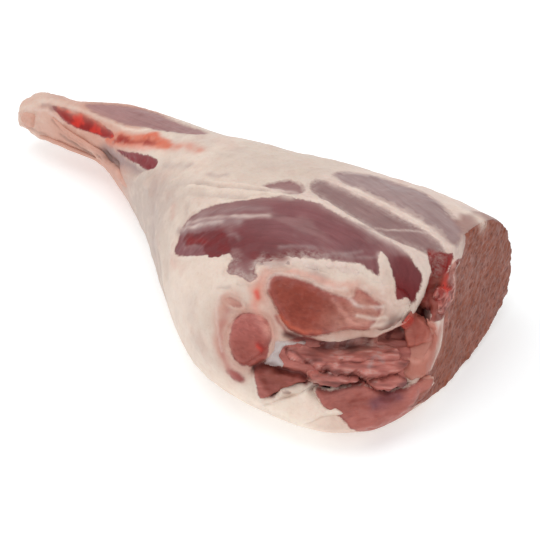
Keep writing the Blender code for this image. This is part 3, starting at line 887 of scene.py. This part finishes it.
def layer(name, outline, rise, lip=None, spread=14.0, rim=2.4, bury=1.2, grid=0.8, grain=0.8, fibres=None,
          wobble=0.8, lumps=0.6, seed=1.0, thick=3.5, sheen=0.0, **look):
    """A thick layer of meat or fat inside an outline, standing proud of the leg with a rounded rim."""
    line = rounded(outline)
    middle = line.mean(0)
    axes = np.linalg.svd(line - middle, full_matrices=False)[2]
    out = axes[2]
    if out @ Ground.nearest(middle)[1] < 0:
        out = -out
    flat = (line - middle) @ axes[:2].T
    off = (line - middle) @ out
    low, high = flat.min(0) - 3 * grid, flat.max(0) + 3 * grid
    us, vs = np.arange(low[0], high[0], grid), np.arange(low[1], high[1], grid)
    uv = np.stack(np.meshgrid(us, vs, indexing="ij"), -1).reshape(-1, 2)
    gap = np.full(len(uv), 1e9)
    within = np.zeros(len(uv), bool)
    weight = np.zeros(len(uv))
    level = np.zeros(len(uv))
    for k, (a, b) in enumerate(zip(flat, np.roll(flat, -1, 0))):
        near = segment_distance(uv, a, b)
        gap = np.minimum(gap, near)
        w = 1 / (near + 0.5) ** 2
        weight += w
        level += w * off[k]
        if a[1] != b[1]:
            crosses = (a[1] > uv[:, 1]) != (b[1] > uv[:, 1])
            within ^= crosses & (uv[:, 0] < (b[0] - a[0]) * (uv[:, 1] - a[1]) / (b[1] - a[1]) + a[0])
    level /= weight
    base = middle + uv @ axes[:2] + np.outer(level, out)
    depth = np.where(within, gap, -gap) + wobble * (rough(base, 5, seed) + 0.5 * rough(base, 2.4, seed + 1))
    for i in np.nonzero(depth > -2.5 * grid)[0]:
        hit = Ground.below(base[i] + out * 25, out)
        if hit is not None:
            lift = (hit - base[i]) @ out
            base[i] += out * (max(lift, -0.5) if lift < 14 else 0.0)
    tall = np.full(len(uv), float(rise))
    if lip is not None:
        tall = rise * bell(line_distance(base, lip), spread)
    marks = grain_marks(base, fibres, out, seed)
    ridges = grain * (grain_of(marks, 1.0) + 0.5 * grain_of(marks, 2.1))
    swell = lumps * rough_sum(base, 12, seed + 2)
    shape = np.sqrt(np.clip(1 - (1 - np.clip(depth / rim, 0, 1)) ** 2, 0, 1))
    height = -bury + (tall + bury + ridges + swell) * shape
    top = base + np.outer(height, out)
    under = base + np.outer(np.minimum(height - thick * 0.6, -bury - thick * 0.5), out)

    keep = (depth > -1.5 * grid).reshape(len(us), len(vs))
    cell = keep[:-1, :-1] & keep[1:, :-1] & keep[:-1, 1:] & keep[1:, 1:]
    number = np.arange(len(uv)).reshape(len(us), len(vs))
    i, j = np.nonzero(cell)
    quads = np.stack([number[i, j], number[i + 1, j], number[i + 1, j + 1], number[i, j + 1]], 1)
    turn = np.cross(axes[0], axes[1]) @ out
    if turn < 0:
        quads = quads[:, ::-1]
    edges = np.concatenate([quads[:, [k, (k + 1) % 4]] for k in range(4)])
    keys = {(int(p), int(q)) for p, q in edges}
    border = [(p, q) for p, q in keys if (q, p) not in keys]
    total = len(uv)
    walls = [(q, p, p + total, q + total) for p, q in sorted(border)]
    faces = quads.tolist() + (quads[:, ::-1] + total).tolist() + walls
    mesh = bpy.data.meshes.new(name)
    mesh.from_pydata((np.concatenate([top, under]) * MM).tolist(), [], faces)
    piece = link(name, mesh)
    tidy = bmesh.new()
    tidy.from_mesh(mesh)
    bmesh.ops.delete(tidy, geom=[v for v in tidy.verts if not v.link_faces], context="VERTS")
    bmesh.ops.recalc_face_normals(tidy, faces=tidy.faces)
    tidy.to_mesh(mesh)
    tidy.free()
    relaxed(piece, 3)
    places, _ = places_of(piece.data)
    places[:, 2] = np.maximum(places[:, 2], 0.05)
    move_to(piece.data, places)
    facing = np.tile(out, (len(places), 1))
    regions = leg_regions(places, facing)
    if fibres is None:
        paint(piece.data, places, regions, drawn(places, out), **look)
        return piece
    marks = grain_marks(places, fibres, out, seed)
    ridge = grain_of(marks, 1.0) + 0.5 * grain_of(marks, 2.1)
    # Painted shade and light from the ridges: flesh darker in their hollows, lighter on their tops.
    paint(piece.data, places, regions, drawn(places, out), shade=np.clip(0.75 * ridge, -0.5, 0.3), **look)
    # Painted sheen on the ridge tops, carried by the film mark.
    pale = sheen * smooth(0.05, 0.6, ridge)
    piece.data.attributes["film"].data.foreach_set("value", pale.astype(np.float32))
    piece.data.attributes["fibre"].data.foreach_set("vector", marks.astype(np.float32).ravel())
    return piece


def strap(name, route, widths, thick, lift=(0.0, 0.0), step=0.9, around=20, grain=0.25, seed=1.0, **look):
    """A flattened cord of tendon or gristle laid along the leg."""
    line = rounded(route, closed=False, steps=12)
    ways = np.concatenate([[0], np.cumsum(np.linalg.norm(np.diff(line, axis=0), axis=1))])
    count = int(ways[-1] / step) + 2
    at = np.linspace(0, ways[-1], count)
    line = np.stack([np.interp(at, ways, line[:, k]) for k in range(3)], 1)
    share = at / ways[-1]
    wide = np.interp(share, np.linspace(0, 1, len(widths)), widths) / 2
    raised = np.interp(share, np.linspace(0, 1, len(lift)), lift)
    ups = []
    for k in range(count):
        spot, normal = Ground.nearest(line[k])
        ups.append(normal)
        line[k] = spot + normal * raised[k]
    ups = np.array(ups)
    for _ in range(12):
        ups[1:-1] = (ups[:-2] + ups[1:-1] + ups[2:]) / 3
        line[1:-1] = (line[:-2] + line[1:-1] + line[2:]) / 3
    along = np.gradient(line, axis=0)
    along /= np.linalg.norm(along, axis=1, keepdims=True)
    side = np.cross(along, ups)
    side /= np.linalg.norm(side, axis=1, keepdims=True)
    ups = np.cross(side, along)
    taper = np.sqrt(np.clip(1 - np.abs(2 * share - 1) ** 8, 0.02, 1))
    turns = np.linspace(0, 2 * np.pi, around, endpoint=False)
    rings = []
    for k in range(count):
        ring = line[k] + np.outer(np.cos(turns) * wide[k] * taper[k], side[k]) \
            + np.outer(np.sin(turns) * thick / 2 * taper[k], ups[k])
        rings.append(ring)
    points = np.concatenate(rings)
    hub = np.repeat(line, around, axis=0)
    away = points - hub
    away /= np.linalg.norm(away, axis=1, keepdims=True) + 1e-9
    marks = np.stack([np.repeat(at, around) / 14, np.tile(np.cos(turns), count) * 2,
                      np.tile(np.sin(turns), count) * 2], 1) + seed
    points = points + away * (grain * (grain_of(marks, 1.0) + 0.6 * grain_of(marks, 2.3)))[:, None]
    faces = []
    for k in range(count - 1):
        for m in range(around):
            n = (m + 1) % around
            faces.append((k * around + m, k * around + n, (k + 1) * around + n, (k + 1) * around + m))
    faces.append(tuple(range(around)))
    faces.append(tuple(range((count - 1) * around, count * around))[::-1])
    mesh = bpy.data.meshes.new(name)
    mesh.from_pydata((points * MM).tolist(), [], faces)
    tidy = bmesh.new()
    tidy.from_mesh(mesh)
    bmesh.ops.recalc_face_normals(tidy, faces=tidy.faces)
    tidy.to_mesh(mesh)
    tidy.free()
    piece = link(name, mesh)
    places, _ = places_of(mesh)
    paint(mesh, places, leg_regions(places, np.repeat(ups, around, axis=0)), drawn(places), **look)
    mesh.attributes["fibre"].data.foreach_set("vector", marks.astype(np.float32).ravel())
    return piece


# ---------------------------------------------------------------- materials

class Nodes:
    """A short hand for building one material."""

    def __init__(self, name):
        self.material = bpy.data.materials.new(name)
        self.material.use_nodes = True
        self.tree = self.material.node_tree
        self.tree.nodes.clear()

    def add(self, kind, inputs=(), **settings):
        node = self.tree.nodes.new(kind)
        for key, value in settings.items():
            setattr(node, key, value)
        for key, value in dict(inputs).items():
            if isinstance(value, bpy.types.NodeSocket):
                self.tree.links.new(value, node.inputs[key])
            else:
                node.inputs[key].default_value = value
        return node

    def read(self, name, output="Fac"):
        return self.add("ShaderNodeAttribute", attribute_name=name).outputs[output]

    def noise(self, vector, scale, detail=3.0, rough=0.55):
        return self.add("ShaderNodeTexNoise", {"Vector": vector, "Scale": scale, "Detail": detail,
                                               "Roughness": rough}).outputs["Fac"]

    def math(self, operation, a, b=0.0):
        return self.add("ShaderNodeMath", {0: a, 1: b}, operation=operation).outputs[0]

    def span(self, value, low, high, to_low=0.0, to_high=1.0, soft=True):
        return self.add("ShaderNodeMapRange", {"Value": value, "From Min": low, "From Max": high,
                                               "To Min": to_low, "To Max": to_high},
                        interpolation_type="SMOOTHSTEP" if soft else "LINEAR").outputs["Result"]

    def mix(self, factor, a, b, mode="MIX"):
        node = self.add("ShaderNodeMix", {0: factor, 6: a, 7: b}, data_type="RGBA", blend_type=mode)
        return node.outputs[2]

    def finish(self, shader):
        out = self.add("ShaderNodeOutputMaterial")
        self.tree.links.new(shader, out.inputs["Surface"])
        return self.material


def rgba(linear):
    return (*[float(v) for v in linear], 1.0)


# What the fine marks multiply fat and muscle by, and the colour of the specks on the sawn face.
FAT_MOTTLE = (0.93, 0.88, 0.85)
CURD_SHADE = (0.90, 0.86, 0.84)
CURD_LIGHT = (1.07, 1.07, 1.06)
FAT_STREAK = (0.90, 0.80, 0.77)
MUSCLE_STREAK = (0.66, 0.52, 0.54)
# Painted sheen: what the muscle's fine streaks are lightened by.
MUSCLE_SHEEN = (1.55, 1.75, 1.7)
SAW_SPECK = (0.56, 0.30, 0.24)
SAW_PIT = (0.45, 0.28, 0.26)


def meat_material():
    """Fat and meat on one surface: their border is the mark called meat, and each has its own colour."""
    n = Nodes("raw lamb meat and fat")
    place = n.add("ShaderNodeTexCoord").outputs["Object"]
    fibre = n.read("fibre", "Vector")
    border, cut, film = n.read("meat"), n.read("cut"), n.read("film")
    wander = n.noise(place, 330, 4, 0.65)
    streaks = n.noise(fibre, 1.0, 3, 0.5)
    fine_streaks = n.noise(fibre, 2.6, 3, 0.6)
    mottle = n.noise(place, 120, 3, 0.6)
    fine = n.noise(place, 900, 2, 0.5)

    edge = n.math("ADD", border, n.span(wander, 0.2, 0.8, -0.7, 0.7, False))
    edge = n.math("ADD", edge, n.span(fine_streaks, 0.25, 0.75, -0.3, 0.3, False))
    edge = n.math("MULTIPLY", edge, n.read("crisp"))
    is_meat = n.span(edge, -0.6, 0.6)

    fat = n.read("fat_tone", "Color")
    fat = n.mix(n.span(mottle, 0.35, 0.7, 0.0, 0.5), fat, rgba(FAT_MOTTLE), "MULTIPLY")
    curd = n.noise(place, 420, 4, 0.7)
    fat = n.mix(n.span(curd, 0.5, 0.7, 0.0, 0.55), fat, rgba(CURD_SHADE), "MULTIPLY")
    fat = n.mix(n.span(curd, 0.45, 0.25, 0.0, 0.6), fat, rgba(CURD_LIGHT), "MULTIPLY")
    fat = n.mix(n.span(fine_streaks, 0.5, 0.8, 0.0, 0.35), fat, rgba(FAT_STREAK), "MULTIPLY")

    flesh = n.read("meat_tone", "Color")
    flesh = n.mix(n.span(streaks, 0.42, 0.75, 0.0, 0.45), flesh, rgba(MUSCLE_STREAK), "MULTIPLY")
    # Painted sheen along the muscle's fine streaks.
    flesh = n.mix(n.span(fine_streaks, 0.5, 0.2, 0.0, 0.30), flesh, rgba(MUSCLE_SHEEN), "MULTIPLY")
    speck = n.math("MULTIPLY", n.span(n.noise(fibre, 2.3, 2, 0.5), 0.60, 0.72), cut)
    flesh = n.mix(n.math("MULTIPLY", speck, 0.25), flesh, rgba(SAW_SPECK))
    pit = n.math("MULTIPLY", n.span(n.noise(fibre, 1.7, 2, 0.5), 0.50, 0.34), cut)
    flesh = n.mix(n.math("MULTIPLY", pit, 0.75), flesh, rgba(SAW_PIT), "MULTIPLY")
    # The film mark pales the flesh: milky film on the leg, and painted sheen on the ridge tops of torn
    # layers.
    cloud = n.math("ADD", n.math("MULTIPLY", fine_streaks, 0.4), n.math("MULTIPLY", wander, 0.6))
    milky = n.math("MULTIPLY", film, n.span(cloud, 0.36, 0.60))
    flesh = n.mix(milky, flesh, rgba(colour("fascia") * 0.8))

    base = n.mix(is_meat, fat, flesh)
    gloss = n.mix(is_meat, n.span(mottle, 0.3, 0.7, 0.56, 0.44), n.span(streaks, 0.3, 0.7, 0.48, 0.34))
    height = n.math("ADD", n.math("MULTIPLY", streaks, 0.7), n.math("MULTIPLY", fine, 0.25))
    height = n.math("ADD", height, n.math("MULTIPLY", is_meat, -0.6))
    bump = n.add("ShaderNodeBump", {"Strength": 0.5, "Distance": 0.6 * MM, "Height": height})
    shader = n.add("ShaderNodeBsdfPrincipled", {
        "Base Color": base, "Roughness": gloss, "Normal": bump.outputs["Normal"],
        "Subsurface Weight": 0.08, "Subsurface Radius": (1.0, 0.4, 0.25), "Subsurface Scale": 0.002,
        "Specular IOR Level": 0.3})
    return n.finish(shader.outputs["BSDF"])


made = {}


# ---------------------------------------------------------------- one operator for each group of pieces

# The stage: floor, light and camera.
FLOOR_SIDE = 8.0
FLOOR_COLOUR = (0.88, 0.91, 0.92, 1)
FLOOR_GLOW = 0.30
ROOM_LIGHT = 0.66
LIT_PLACE = (0.05, 0, 0)
# Softboxes: name, place and width in metres, and power in watts.
SOFTBOXES = (("key softbox", (-0.3, 0.0, 1.3), 1.3, 6.4), ("front softbox", (0.3, -1.5, 1.0), 1.0, 2.5))
# The camera: turned and raised in degrees, its distance and its aim as shares of the leg's length.
LENS = 101.0
SENSOR = 36.0
CAMERA_TURN = 36.4
CAMERA_RISE = 39.9
CAMERA_DISTANCE = 2.42
CAMERA_AIM = (0.186, -0.036, 0.119)


def look_at(holder, place, aim):
    holder.location = place
    holder.rotation_euler = (Vector(aim) - Vector(place)).to_track_quat("-Z", "Y").to_euler()


class LAMB_OT_stage(bpy.types.Operator):
    """Set out the pale floor, the lights and the camera"""
    bl_idname = "lamb.stage"
    bl_label = "Stage"

    def execute(self, context):
        bpy.ops.mesh.primitive_plane_add(size=FLOOR_SIDE, location=(0, 0, 0))
        floor = context.active_object
        floor.name = "floor"
        n = Nodes("pale floor")
        shader = n.add("ShaderNodeBsdfPrincipled", {
            "Base Color": FLOOR_COLOUR, "Roughness": 0.9, "Specular IOR Level": 0.1,
            "Emission Color": (1, 1, 1, 1), "Emission Strength": FLOOR_GLOW})
        floor.data.materials.append(n.finish(shader.outputs["BSDF"]))

        for name, place, side, watts in SOFTBOXES:
            light = bpy.data.lights.new(name, "AREA")
            light.shape = "DISK"
            light.size = side
            light.energy = watts
            holder = bpy.data.objects.new(name, light)
            context.scene.collection.objects.link(holder)
            look_at(holder, place, LIT_PLACE)
        world = bpy.data.worlds.new("white room")
        world.use_nodes = True
        world.node_tree.nodes["Background"].inputs["Color"].default_value = (1, 1, 1, 1)
        world.node_tree.nodes["Background"].inputs["Strength"].default_value = ROOM_LIGHT
        context.scene.world = world
        context.scene.view_settings.view_transform = "Standard"

        camera = bpy.data.cameras.new("camera")
        camera.lens = LENS
        camera.sensor_width = SENSOR
        holder = bpy.data.objects.new("camera", camera)
        context.scene.collection.objects.link(holder)
        turn = math.radians(CAMERA_TURN)
        rise = math.radians(CAMERA_RISE)
        away = Vector((math.sin(turn) * math.cos(rise), -math.cos(turn) * math.cos(rise), math.sin(rise)))
        leg_length = CAD_BOX[1][0] - CAD_BOX[0][0]
        aim = Vector(CAMERA_AIM) * leg_length
        look_at(holder, aim + away * CAMERA_DISTANCE * leg_length, aim)
        context.scene.camera = holder
        return {"FINISHED"}


class LAMB_OT_leg(bpy.types.Operator):
    """Build the leg itself: muscle, fat and sawn butt on one closed skin"""
    bl_idname = "lamb.leg"
    bl_label = "Leg"

    def execute(self, context):
        made["meat"] = meat_material()
        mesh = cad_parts[CAD_NODE].data.copy()
        welded = bmesh.new()
        welded.from_mesh(mesh)
        bmesh.ops.remove_doubles(welded, verts=welded.verts, dist=0.01 * MM)
        welded.to_mesh(mesh)
        welded.free()
        leg = link("leg_meat", mesh)
        skin = leg.modifiers.new("skin", "REMESH")
        skin.mode = "VOXEL"
        skin.voxel_size = sizes().skin_grid * 1.0
        relaxed(leg, 12)
        _, normals = places_of(leg.data)
        plain_side = leg.vertex_groups.new(name="plain")
        plain = np.nonzero((normals @ np.array(PLAIN_SIDE)) > 0.15)[0]
        plain_side.add(plain.tolist(), 1.0, "REPLACE")
        triangles = sum(len(face.vertices) - 2 for face in leg.data.polygons)
        thin = leg.modifiers.new("thin", "DECIMATE")
        thin.vertex_group = "plain"
        thin.vertex_group_factor = 1.0
        thin.ratio = min(1.0, TRIANGLE_LIMIT / triangles)
        settle(leg)
        places, normals = places_of(leg.data)
        regions = leg_regions(places, normals)
        marks = drawn(places)
        rise = carve_leg(places, regions, marks)
        paint(leg.data, places, regions, marks, gaps=gap_width(places, normals))
        places = places + normals * rise[:, None]
        places[:, 2] = np.maximum(places[:, 2], 0.0)
        move_to(leg.data, places)
        Ground.take(leg.data)
        finish_piece(leg, "meat")
        return {"FINISHED"}


PLAIN_SIDE = (-0.2, 0.5, -0.84)  # the outward direction of the side that needs little detail
TRIANGLE_LIMIT = 188000  # how many triangles the leg keeps


class LAMB_OT_torn_corner(bpy.types.Operator):
    """Lay the torn muscle layers, lobes and lips of the cut corner"""
    bl_idname = "lamb.torn_corner"
    bl_label = "Torn corner"

    def execute(self, context):
        torn = dict(fibres=(TORN_ALONG, 19, 3.4), tissue="meat", cut_amount=0.3, rim=1.7, sheen=0.5)
        scrap = dict(tissue="fat", fat_tone="fascia", rim=3.0, bury=0.9, grain=0.4, wobble=3.0)
        pieces = [
            layer("near_lobe", NEAR_LOBE, 4.5, lip=LOBE_LIP, spread=14, rim=2.6, seed=2),
            layer("second_lobe", SECOND_LOBE, 2.6, rim=3.5, bury=1.0, seed=3),
            layer("torn_top", TORN_TOP, 3.0, lip=TORN_TOP_LIP, spread=7, grain=1.2, wobble=2.0, seed=4,
                  **torn),
            layer("torn_middle", TORN_MIDDLE, 5.0, lip=TORN_MIDDLE_LIP, spread=9, grain=1.3, wobble=2.2,
                  seed=5, **torn),
            layer("torn_low_left", TORN_LOW_LEFT, 4.2, grain=1.6, wobble=2.0, seed=6, **torn),
            layer("torn_low_right", TORN_LOW_RIGHT, 4.4, grain=1.6, wobble=1.8, seed=7, **torn),
            layer("low_fat_slab", LOW_FAT_SLAB, 2.4, rim=2.0, grain=0.3, seed=15, tissue="fat",
                  fat_tone="white_fat"),
            layer("lower_flap", FLAP, 2.6, lip=FLAP_LIP, spread=12, rim=3.0, lumps=0.8, seed=8),
            layer("white_column", WHITE_COLUMN, 2.2, rim=2.6, wobble=1.4, seed=9, tissue="fat",
                  fat_tone="column"),
            layer("bone_tip", BONE_TIP, 4.0, rim=2.2, grain=0.6, wobble=1.0, seed=10, tissue="meat",
                  meat_tone="bone", cut_amount=0.2),
            layer("inner_ridge", INNER_RIDGE, 2.2, fibres=((0, 0.9, 0.4), 6, 2.0), rim=2.0, grain=1.4,
                  wobble=1.6, seed=11, sheen=0.4, tissue="meat", meat_tone="torn", cut_amount=1.0),
            layer("fat_scrap_left", SCRAP_LEFT, 0.4, seed=16, **scrap),
            layer("fat_scrap_right", SCRAP_RIGHT, 0.4, seed=17, **scrap),
            layer("gristle", GRISTLE, 1.8, rim=1.8, grain=0.8, wobble=1.2, seed=12, tissue="fat",
                  fat_tone="gristle"),
            layer("shank_lip", SHANK_LIP, 2.4, rim=2.4, grain=0.8, wobble=1.4, seed=19, tissue="fat",
                  fat_tone="tendon"),
        ]
        for piece in pieces:
            finish_piece(piece, "meat")
        return {"FINISHED"}


class LAMB_OT_tendons(bpy.types.Operator):
    """Lay the tendons of the shank"""
    bl_idname = "lamb.tendons"
    bl_label = "Tendons"

    def execute(self, context):
        tendon = dict(tissue="fat", fat_tone="tendon")
        pieces = [
            strap("heel_tendon", HEEL_TENDON, (2.5, 3, 3.5, 4, 4.5, 5.5, 6, 5), 3.6,
                  lift=(0.2, 1.2, 1.4, 1.4, 1.2, 0.8, -0.4, -2.2), seed=21, **tendon),
            strap("shin_tendon", SHIN_TENDON, (3, 4, 4, 3), 3.0,
                  lift=(0.0, 1.0, 0.8, -0.8), seed=22, **tendon),
        ]
        for piece in pieces:
            finish_piece(piece, "meat")
        return {"FINISHED"}


STEPS = ("lamb.stage", "lamb.leg", "lamb.torn_corner", "lamb.tendons")


class LAMB_PT_panel(bpy.types.Panel):
    bl_label = "Leg of Lamb"
    bl_idname = "LAMB_PT_panel"
    bl_space_type = "VIEW_3D"
    bl_region_type = "UI"
    bl_category = "Leg of Lamb"

    def draw(self, context):
        for group in (context.scene.lamb_sizes, context.scene.lamb_colours):
            column = self.layout.column(align=True)
            for name in group.__annotations__:
                column.prop(group, name)
        for step in STEPS:
            self.layout.operator(step)


CLASSES = (LegSizes, LegColours, LAMB_OT_stage, LAMB_OT_leg, LAMB_OT_torn_corner, LAMB_OT_tendons,
           LAMB_PT_panel)


def register():
    for cls in CLASSES:
        bpy.utils.register_class(cls)
    bpy.types.Scene.lamb_sizes = PointerProperty(type=LegSizes)
    bpy.types.Scene.lamb_colours = PointerProperty(type=LegColours)


def unregister():
    del bpy.types.Scene.lamb_colours
    del bpy.types.Scene.lamb_sizes
    for cls in reversed(CLASSES):
        bpy.utils.unregister_class(cls)


def main():
    register()
    for step in STEPS:
        group, name = step.split(".")
        getattr(getattr(bpy.ops, group), name)()


if __name__ == "__main__":
    main()
